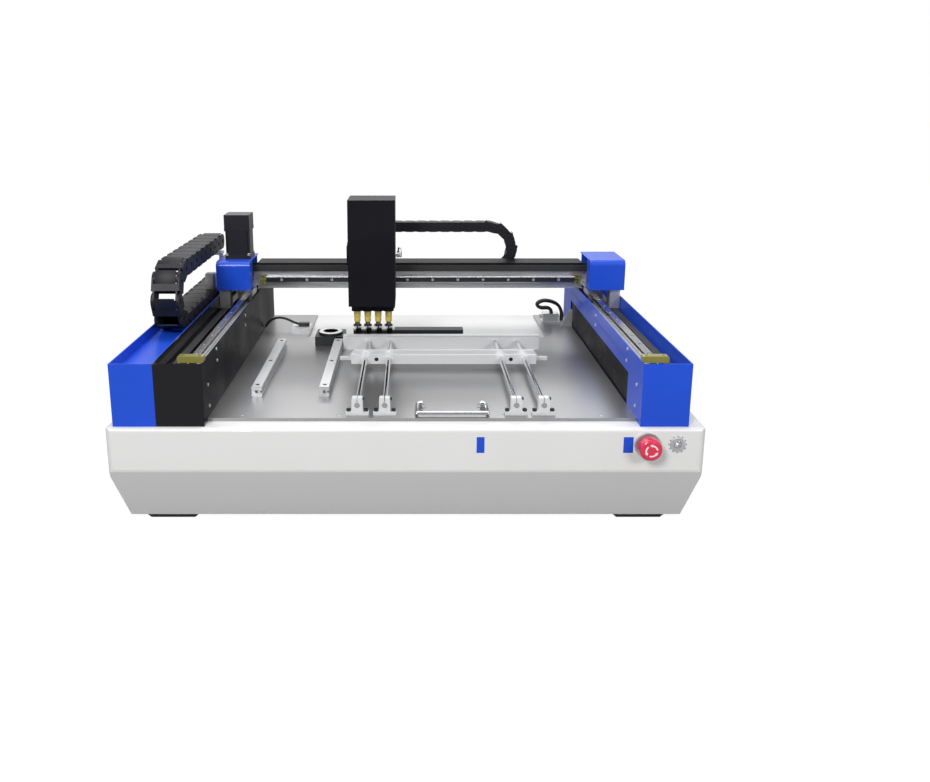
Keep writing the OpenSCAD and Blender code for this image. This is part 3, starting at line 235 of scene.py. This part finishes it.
finishes = {
    white: ["base_shell"],
    blue: ["left_trough", "right_box", "left_end_cover", "right_end_cover"],
    gloss_black: ["left_box"],
    satin_black: ["beam_cover", "head_cover", "nozzle_block", "power_inlet"],
    table: ["table_plate"],
    aluminium: ["bottom_plate", "rail_supports", "end_plates",
                "head_carriage", "rear_fittings", "base_electronics", "y_drive_pulleys",
                "y_idler_pulleys", "panel_bezels", "x_drive_pulley", "x_idler_pulley"],
    drawn: ["gantry_beam"],
    bright: ["rear_pcb_rail", "pcb_clamp", "shaft_supports"],
    rack: ["nozzle_rack"],
    milled: ["feeder_bars"],
    rail_y: ["y_rails", "y_carriages"],
    rail_x: ["x_rail"],
    quill: ["quill_1", "quill_2", "quill_3", "quill_4"],
    chrome: ["guide_rods", "handle_feet", "carry_handle", "start_button"],
    bumper: ["y_bumpers", "x_bumpers"],
    rubber: ["feet"],
    belt: ["y_belts", "x_belt"],
    chain: ["y_chain_lower", "y_chain_bend", "y_chain_upper", "x_chain_lower",
            "x_chain_bend", "x_chain_upper"],
    plastic: ["up_camera", "power_rocker", "hoses_and_cable"],
    red: ["estop_button"],
    motor: ["x_motor", "y_motors"],
}
tip = low("nozzle_1", 2)
amber = surface("amber_nozzle", (0.62, 0.50, 0.10), 0.25, coat=0.4, spread=0.1, zones=[
    (2, tip - 0.01, tip + 0.0075, (0.10, 0.10, 0.10), 0.8, 0.3),
    (2, tip + 0.0075, tip + 0.018, (0.02, 0.02, 0.02), 0.0, 0.35),
])
finishes[amber] = ["nozzle_%d" % i for i in range(1, 5)]
for finish, names in finishes.items():
    for name in names:
        mesh = nodes[name].data
        mesh.materials.clear()
        mesh.materials.append(finish)

# ---------------------------------------------------------------- piece builder

class Bits:
    """Small solids of one material that ride on one body, joined into one mesh."""

    def __init__(self, name, body, finish, slot_name):
        self.name, self.body, self.finish, self.slot_name = name, body, finish, slot_name
        self.mesh = bmesh.new()

    def lathe(self, place, axis, profile, sides=24):
        """Revolves (radius, height) points about axis at place. A radius that is a
        pair (r, n) is an n-sided socket."""
        turn = Vector((0, 0, 1)).rotation_difference(Vector(axis)).to_matrix().to_4x4()
        at = Matrix.Translation(Vector(place)) @ turn
        rings = []
        for radius, height in profile:
            flats = 0
            if isinstance(radius, tuple):
                radius, flats = radius
            ring = []
            for k in range(sides):
                angle = 2 * math.pi * k / sides
                r = radius
                if flats:
                    part = 2 * math.pi / flats
                    r = radius / math.cos((angle % part) - part / 2)
                ring.append(self.mesh.verts.new(
                    at @ Vector((r * math.cos(angle), r * math.sin(angle), height))))
            rings.append(ring)
        for one, two in zip(rings, rings[1:]):
            for k in range(sides):
                self.mesh.faces.new((one[k], one[(k + 1) % sides],
                                     two[(k + 1) % sides], two[k]))
        self.mesh.faces.new(rings[-1])
        self.mesh.faces.new(rings[0][::-1])

    def screw(self, place, axis, d, h):
        """A cap screw: chamfered head with a six-sided socket."""
        r = d / 2
        self.lathe(place, axis, [(r, 0), (r, h - r * 0.15), (r * 0.86, h),
                                 ((r * 0.48, 6), h), ((r * 0.46, 6), h * 0.45)])

    def block(self, a, b, bevel=0.0006):
        """A box between two corners with softened edges."""
        made = bmesh.ops.create_cube(self.mesh, size=1.0)["verts"]
        size = [abs(q - p) for p, q in zip(a, b)]
        mid = [(p + q) / 2 for p, q in zip(a, b)]
        for v in made:
            v.co = Vector([m + s * c for m, s, c in zip(mid, size, v.co)])
        if bevel:
            edges = {e for v in made for e in v.link_edges}
            bmesh.ops.bevel(self.mesh, geom=list(edges), offset=min(bevel, min(size) * 0.4),
                            segments=2, affect="EDGES", profile=0.5)

    def done(self):
        bmesh.ops.recalc_face_normals(self.mesh, faces=self.mesh.faces)
        data = bpy.data.meshes.new(self.name)
        self.mesh.to_mesh(data)
        self.mesh.free()
        piece = bpy.data.objects.new(self.name, data)
        scene.collection.objects.link(piece)
        data.materials.append(self.finish)
        for face in data.polygons:
            face.use_smooth = True
        data.set_sharp_from_angle(angle=math.radians(35))
        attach(piece, self.body)
        return piece


# ---------------------------------------------------------------- screws

RAIL_PITCH = 0.06
rail_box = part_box("y_rails")
rail_left = rail_box[0][0] + 0.0075
rail_right = rail_box[1][0] - 0.0075
rail_top = rail_box[1][2]
rail_mid = (rail_box[0][1] + rail_box[1][1]) / 2
screws = Bits("rail_screws", "base", zinc, "rail_steel")
for i in range(11):
    y = rail_mid + (i - 5) * RAIL_PITCH
    for x in (rail_left, rail_right):
        screws.screw((x, y, rail_top - 0.0052), (0, 0, 1), 0.0068, 0.0042)
screws.done()

x_rail_mid = (low("x_rail", 0) + high("x_rail", 0)) / 2
screws = Bits("x_rail_screws", "gantry", zinc, "rail_steel")
for i in range(12):
    screws.screw((x_rail_mid + (i - 5.5) * RAIL_PITCH, low("x_rail", 1) + 0.0052, rail_mid_z),
                 (0, -1, 0), 0.0070, 0.0046)
screws.done()

inner_left, inner_right = low("table_plate", 0), high("table_plate", 0)
table_top, table_front = high("table_plate", 2), low("table_plate", 1)
screws = Bits("panel_screws", "base", zinc, "rail_steel")
for x, way in ((inner_left, 1), (inner_right, -1)):
    for y, z in ((-0.346, 0.255), (-0.343, 0.214), (-0.270, 0.299), (-0.267, 0.276),
                 (0.010, 0.292), (0.007, 0.271)):
        screws.screw((x, y, z), (way, 0, 0), 0.0062, 0.0022)
for x in (inner_left + 0.06, -0.120, 0.180, inner_right - 0.06):
    screws.screw((x, table_front + 0.014, table_top - 0.003), (0, 0, 1), 0.0072, 0.0026)
screws.done()

# Socket screws of the shaft supports, the feeder bars and the covers
ROD_X = (-0.088, -0.038, 0.201, 0.251)
screws = Bits("fixture_screws", "base", dark_screw, "rail_steel")
support_y = low("shaft_supports", 1) + 0.007
for rod in ROD_X:
    for side in (-0.016, 0.016):
        screws.screw((rod + side, support_y, table_top + 0.0065), (0, 0, 1), 0.0085, 0.0045)
    screws.screw((rod + 0.010, support_y, table_top + 0.030), (1, 0, 0), 0.006, 0.003)
bar_front, bar_rear = low("feeder_bars", 1), high("feeder_bars", 1)
for x in (low("feeder_bars", 0) + 0.010, high("feeder_bars", 0) - 0.010):
    for y in (bar_front + 0.014, (bar_front + bar_rear) / 2, bar_rear - 0.014):
        screws.screw((x, y, table_top + 0.0151), (0, 0, 1), 0.0085, 0.0042)
screws.done()

screws = Bits("cover_screws", "gantry", zinc, "rail_steel")
for node, side in (("left_end_cover", -1), ("right_end_cover", 1)):
    x = low(node, 0) if side < 0 else high(node, 0)
    for y in (low(node, 1) + 0.016, high(node, 1) - 0.016):
        for z in (low(node, 2) + 0.012, high(node, 2) - 0.016):
            screws.screw((x - side * 0.0003, y, z), (side, 0, 0), 0.006, 0.002)
motor_x = (low("x_motor", 0) + high("x_motor", 0)) / 2
motor_y = (low("x_motor", 1) + high("x_motor", 1)) / 2
reach = (high("x_motor", 0) - low("x_motor", 0)) / 2 - 0.005
for dx in (-reach, reach):
    for dy in (-reach, reach):
        screws.screw((motor_x + dx, motor_y + dy, low("x_motor", 2) + 0.012), (0, 0, 1),
                     0.0072, 0.005)
screws.done()

# Black plugs in the clamp's front bar
plugs = Bits("clamp_plugs", "clamp", plastic, "black_plastic")
clamp_front = low("pcb_clamp", 1) + 0.004
for x in (-0.064, 0.222):
    plugs.lathe((x, clamp_front + 0.004, table_top + 0.020), (0, -1, 0),
                [(0.0043, -0.002), (0.0043, 0.002), (0.0035, 0.0026)])
plugs.done()

# ---------------------------------------------------------------- sheet parts

# The left box's inner wall is black; this dull sheet over it paints the shade in the opening
# under the beam
left_shade = Bits("left_painted_shade", "base", painted_shade_black, "black_gloss")
left_shade.block((inner_left - 0.0002, -0.3815, table_top + 0.0003),
            (inner_left + 0.0003, 0.3985, 0.3048), 0)
left_shade.done()
# A dark sheet behind the right box's blue strip: painted shade inside the opening below the beam
arch = Bits("arch_painted_shade", "base", painted_shade_black, "black_gloss")
arch.block((inner_right + 0.0024, -0.285, 0.1914), (inner_right + 0.0040, 0.306, 0.302), 0)
arch.done()
strip = Bits("arch_strip", "base", blue, "blue_paint")
strip.block((inner_right, -0.2825, 0.257), (inner_right + 0.0019, 0.3035, 0.280), 0)
strip.done()

panel = low("base_shell", 1)
marks = Bits("front_marks", "base", blue, "blue_paint")
for x0, x1 in ((0.126, 0.140), (0.386, 0.4035)):
    marks.block((x0, panel - 0.0001, 0.143), (x1, panel + 0.001, 0.173), 0)
marks.done()

def arc_band(bits, centre, y, r0, r1, start, end, steps=14):
    """A flat band round centre at depth y, between two radii and two angles."""
    ring = []
    for k in range(steps + 1):
        angle = math.radians(start + (end - start) * k / steps)
        ring.append([bits.mesh.verts.new((centre[0] + r * math.cos(angle), y,
                                          centre[1] + r * math.sin(angle))) for r in (r0, r1)])
    for one, two in zip(ring, ring[1:]):
        bits.mesh.faces.new((one[0], one[1], two[1], two[0]))


def arrow_head(bits, centre, y, radius, angle, size):
    """A flat triangle that ends an arc at an angle."""
    a = math.radians(angle)
    out, along = (math.cos(a), math.sin(a)), (-math.sin(a), math.cos(a))
    points = [(radius - size, 0), (radius + size, 0), (radius, size * 1.7)]
    bits.mesh.faces.new([bits.mesh.verts.new((
        centre[0] + r * out[0] + t * along[0], y, centre[1] + r * out[1] + t * along[1]))
        for r, t in points])


# Turn-to-release arrows on the stop button, and the start button's ring of rays
stop_x, stop_z = 0.428, 0.159
arrows = Bits("stop_arrows", "stop_button", pale, "white_paint")
face = low("estop_button", 1)
for start in (10, 130, 250):
    arc_band(arrows, (stop_x, stop_z), face - 0.0001, 0.0085, 0.0112, start, start + 72)
    arrow_head(arrows, (stop_x, stop_z), face - 0.0001, 0.0099, start + 72, 0.0030)
arrows.done()
start_x, ray_ring = 0.482, 0.0155
rays = Bits("start_rays", "base", plastic, "black_plastic")
for k in range(12):
    angle = math.radians(30 * k)
    rays.lathe((start_x + ray_ring * math.cos(angle), panel + 0.0002,
                stop_z + ray_ring * math.sin(angle)), (0, -1, 0),
               [(0.0010, -0.0004), (0.0010, 0.0004), (0.0006, 0.0005)], 8)
rays.done()

# ---------------------------------------------------------------- camera, rack, head

camera_x = (low("up_camera", 0) + high("up_camera", 0)) / 2
camera_y = (low("up_camera", 1) + high("up_camera", 1)) / 2
lights = Bits("camera_ring", "base", glow, "white_paint")
lights.lathe((camera_x, camera_y, table_top + 0.0268), (0, 0, 1),
             [(0.0175, 0), (0.0175, 0.0010), (0.0265, 0.0010), (0.0272, 0.0004), (0.0272, 0)], 64)
lights.done()
glass = Bits("camera_glass", "base", lens, "black_plastic")
glass.lathe((camera_x, camera_y, table_top + 0.0140), (0, 0, 1),
            [(0.0062, 0), (0.0062, 0.0006), (0.0040, 0.0016), (0.0016, 0.0021)], 32)
glass.done()

fitting = Bits("head_fitting", "head", aluminium, "aluminium")
cover_right, head_y = high("head_cover", 0), low("head_cover", 1) + 0.045
fitting.lathe((cover_right, head_y, 0.409), (1, 0, 0),
              [(0.0045, 0), (0.0045, 0.004), (0.0060, 0.0042), (0.0060, 0.009), (0.0045, 0.0095)])
fitting.lathe((cover_right + 0.0095, head_y, 0.404), (0, 0.3, 1),
              [(0.0048, 0), (0.0055, 0.002), (0.0055, 0.014), (0.0040, 0.016), (0.0040, 0.022)])
fitting.done()
bracket = Bits("head_bracket", "head", satin_black, "black_paint")
bracket.block((low("head_cover", 0) - 0.006, head_y - 0.004, 0.384),
              (low("head_cover", 0), head_y + 0.030, 0.430), 0.001)
bracket.lathe((low("head_cover", 0) - 0.003, head_y + 0.010, 0.429), (0, 0, 1),
              [(0.0025, 0), (0.0025, 0.006), (0.0015, 0.008)])
bracket.done()

# Plug block beside the left cover, where the chain's cables end
block = Bits("gantry_plug", "gantry", aluminium, "aluminium")
block.block((-0.4725, 0.146, 0.318), (-0.4530, 0.172, 0.357), 0.001)
block.done()

# ---------------------------------------------------------------- chain lids

def blended(name, data, place):
    """Links a piece made from data at place, and bakes the place into its mesh."""
    made = bpy.data.objects.new(name, data)
    made.matrix_world = place
    scene.collection.objects.link(made)
    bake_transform(made)
    return made


def chain_run(node):
    """A copy of one straight run, linked in its place while the CAD node is hidden."""
    made = blended(node + "_run", nodes[node].data.copy(), nodes[node].matrix_world.copy())
    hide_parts(node)


def chain_lids(name, rides, frames, size):
    """Closes the gaps between a chain's outer bars. rides is a body, or a run whose lids are
    linked on their own without a body, frames place each link, and size is Y_LINK or X_LINK."""
    pitch, height, width, cheek = size
    lids = Bits(name, rides, chain, "black_plastic")
    half = width / 2 - 2 * cheek - 0.0008
    for place in frames:
        count = len(lids.mesh.verts)
        lids.block((-height / 2 + 0.0004, -half, height / 2 - cheek * 0.7),
                   (pitch * 0.26, half, height / 2 - 0.0003), 0.0004)
        lids.mesh.verts.ensure_lookup_table()
        for v in lids.mesh.verts[count:]:
            v.co = place @ v.co
    if isinstance(rides, str):
        lids.done()
        return
    data = bpy.data.meshes.new(name)
    lids.mesh.to_mesh(data)
    lids.mesh.free()
    data.materials.append(chain)
    blended(name, data, Matrix.Identity(4))


def run_frames(base, count, pitch, first=0):
    return [base @ Matrix.Translation((pitch * (i + first), 0, 0)) for i in range(count)]


def bend_radius(count, pitch):
    """The radius through the links' middles, where count links turn half round."""
    return pitch / (2 * math.sin(math.pi / 2 / count))


def bend_frames(base, count, pitch):
    step = math.pi / count
    radius = bend_radius(count, pitch)
    return [base @ Matrix.Rotation(i * step, 4, "Y") @ Matrix.Translation((0, 0, radius))
            @ Matrix.Rotation(step / 2, 4, "Y") for i in range(count)]


# Pitch, height, width and cheek of one link
Y_LINK = (0.043, 0.035, 0.056, 0.0032)
X_LINK = (0.029, 0.024, 0.034, 0.0022)
Y_PITCH, X_PITCH = Y_LINK[0], X_LINK[0]
Y_BEND, Y_UPPER, Y_LOWER = 4, 8, 10
X_BEND, X_UPPER = 6, 11

bend_y = -0.083
turn = Matrix.Rotation(-math.pi / 2, 4, "Z")
y_mid = (low("y_chain_bend", 0) + high("y_chain_bend", 0)) / 2
y_radius = bend_radius(Y_BEND, Y_PITCH)
y_high = high("y_chain_upper", 2) - Y_LINK[1] / 2
y_top = Matrix.Translation((y_mid, bend_y, y_high)) @ turn
y_centre = Matrix.Translation((y_mid, bend_y, y_high - y_radius)) @ turn
y_base = (Matrix.Translation((y_mid, bend_y, y_high - 2 * y_radius))
          @ Matrix.Rotation(math.pi / 2, 4, "Z"))
y_upper_run = ("y_bend", "y_chain_end", (y_mid, low("y_chain_upper", 1), y_high),
               (y_mid, high("y_chain_upper", 1), y_high))
y_lower_run = ("base", "y_bend", (y_mid, high("y_chain_lower", 1), y_high),
               (y_mid, low("y_chain_lower", 1), y_high))
chain_run("y_chain_upper")
chain_lids("y_upper_lids", y_upper_run, run_frames(y_top, Y_UPPER, Y_PITCH, -Y_UPPER), Y_LINK)
chain_lids("y_bend_lids", "y_bend", bend_frames(y_centre, Y_BEND, Y_PITCH), Y_LINK)
chain_run("y_chain_lower")
chain_lids("y_lower_lids", y_lower_run, run_frames(y_base, Y_LOWER, Y_PITCH), Y_LINK)

bend_x = 0.202
x_mid = (low("x_chain_bend", 1) + high("x_chain_bend", 1)) / 2
x_radius = bend_radius(X_BEND, X_PITCH)
x_high = high("x_chain_upper", 2) - X_LINK[1] / 2
x_top = Matrix.Translation((bend_x, x_mid, x_high))
x_centre = Matrix.Translation((bend_x, x_mid, x_high - x_radius))
x_upper_run = ("x_bend", "x_chain_end", (high("x_chain_upper", 0), x_mid, x_high),
               (low("x_chain_upper", 0), x_mid, x_high))
chain_run("x_chain_upper")
chain_run("x_chain_lower")
chain_lids("x_upper_lids", x_upper_run, run_frames(x_top, X_UPPER, X_PITCH, -X_UPPER), X_LINK)
chain_lids("x_bend_lids", "x_bend", bend_frames(x_centre, X_BEND, X_PITCH), X_LINK)

# ---------------------------------------------------------------- cords

def smooth(points, steps=3):
    """A rounder line through the points, each span in equal steps."""
    out = []
    for i in range(len(points) - 1):
        a, b, c, d = (Vector(points[min(max(k, 0), len(points) - 1)])
                      for k in (i - 1, i, i + 1, i + 2))
        for k in range(steps):
            t = k / steps
            out.append(0.5 * (2 * b + (c - a) * t + (2 * a - 5 * b + 4 * c - d) * t * t
                              + (3 * b - a - 3 * c + d) * t ** 3))
    return out + [Vector(points[-1])]


def free_cord(name, points, diameter):
    """A cord on the base through points, the first of which is where it leaves."""
    line = smooth(points)
    data = bpy.data.curves.new(name, "CURVE")
    data.dimensions = "3D"
    data.bevel_depth = diameter / 2
    data.bevel_resolution = 4
    data.use_fill_caps = True
    spline = data.splines.new("POLY")
    spline.points.add(len(line) - 1)
    for point, at in zip(spline.points, line):
        point.co = (*at, 1)
    data.materials.append(plastic)
    made = bpy.data.objects.new(name, data)
    scene.collection.objects.link(made)
    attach(made, "base")
    return made


HOSE, CABLE = 0.008, 0.006
hose = [(0.396, 0.324, 0.2013), (0.396, 0.324, 0.221), (0.387, 0.320, 0.240),
        (0.370, 0.316, 0.251), (0.348, 0.313, 0.255), (0.333, 0.312, 0.249),
        (0.332, 0.312, 0.241), (0.343, 0.312, 0.236), (0.357, 0.313, 0.236),
        (0.366, 0.314, 0.231), (0.368, 0.314, 0.2213)]
first = free_cord("rear_hose_1", hose, HOSE)
free_cord("rear_hose_2", [(x, y - HOSE - 0.0014, z) for x, y, z in hose], HOSE)
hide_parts("hoses_and_cable")
plug = Bits("cable_plug", "base", plastic, "black_plastic")
plug.block((-0.270, 0.2405, 0.2054), (-0.244, 0.2555, 0.213), 0.001)
plug = plug.done()
free_cord("table_cable", [(-0.352, 0.244, 0.203), (-0.346, 0.244, 0.213),
                          (-0.334, 0.245, 0.222), (-0.318, 0.246, 0.226),
                          (-0.300, 0.247, 0.222), (-0.284, 0.248, 0.214),
                          (-0.270, 0.248, 0.209)], CABLE)

# ---------------------------------------------------------------- studio

def lamp(name, place, aim, size, power):
    made = bpy.data.objects.new(name, bpy.data.lights.new(name, "AREA"))
    made.data.shape = "RECTANGLE"
    made.data.size, made.data.size_y = size
    made.data.energy = power
    made.location = place
    made.rotation_euler = (Vector(aim) - Vector(place)).to_track_quat("-Z", "Y").to_euler()
    scene.collection.objects.link(made)


lamp("key", (-1.2, -2.8, 2.2), (0, 0, 0.2), (0.9, 0.8), 72)
lamp("fill", (1.8, -2.6, 1.6), (0, 0, 0.2), (0.8, 0.8), 30)
lamp("top", (0, 0.3, 3.0), (0, 0.1, 0.2), (2.2, 1.4), 40)
lamp("back", (0, 2.6, 2.0), (0, 0, 0.3), (2.4, 1.0), 20)

world = bpy.data.worlds.new("studio")
world.use_nodes = True
scene.world = world
sky = world.node_tree.nodes["Background"]
sky.inputs["Color"].default_value = (1, 1, 1, 1)
# The room is dim on the operator's side and bright behind the machine
seen = world.node_tree.nodes.new("ShaderNodeLightPath")
heading = world.node_tree.nodes.new("ShaderNodeTexCoord")
parts = world.node_tree.nodes.new("ShaderNodeSeparateXYZ")
room = world.node_tree.nodes.new("ShaderNodeMapRange")
room.inputs["From Min"].default_value = -1.0
room.inputs["To Min"].default_value = 0.12
room.inputs["To Max"].default_value = 0.80
level = world.node_tree.nodes.new("ShaderNodeMix")
level.inputs["B"].default_value = 1.0
wire = world.node_tree.links.new
wire(heading.outputs["Generated"], parts.inputs[0])
wire(parts.outputs["Y"], room.inputs["Value"])
wire(seen.outputs["Is Camera Ray"], level.inputs["Factor"])
wire(room.outputs[0], level.inputs["A"])
wire(level.outputs["Result"], sky.inputs["Strength"])

floor_mesh = bpy.data.meshes.new("floor")
floor_mesh.from_pydata([(-6, -6, 0), (6, -6, 0), (6, 6, 0), (-6, 6, 0)], [], [(0, 1, 2, 3)])
floor = bpy.data.objects.new("floor", floor_mesh)
scene.collection.objects.link(floor)
ground = bpy.data.materials.new("studio_floor")
ground.use_nodes = True
tree = ground.node_tree
base = tree.nodes["Principled BSDF"]
base.inputs["Base Color"].default_value = (0.30, 0.30, 0.30, 1)
base.inputs["Roughness"].default_value = 0.22
glare = tree.nodes.new("ShaderNodeEmission")
glare.inputs["Strength"].default_value = 1.13
seen = tree.nodes.new("ShaderNodeLightPath")
share = tree.nodes.new("ShaderNodeMath")
share.operation = "MULTIPLY"
share.inputs[1].default_value = 0.86
tree.links.new(seen.outputs["Is Camera Ray"], share.inputs[0])
mix = tree.nodes.new("ShaderNodeMixShader")
tree.links.new(share.outputs[0], mix.inputs["Fac"])
tree.links.new(base.outputs["BSDF"], mix.inputs[1])
tree.links.new(glare.outputs["Emission"], mix.inputs[2])
tree.links.new(mix.outputs["Shader"], tree.nodes["Material Output"].inputs["Surface"])
floor_mesh.materials.append(ground)
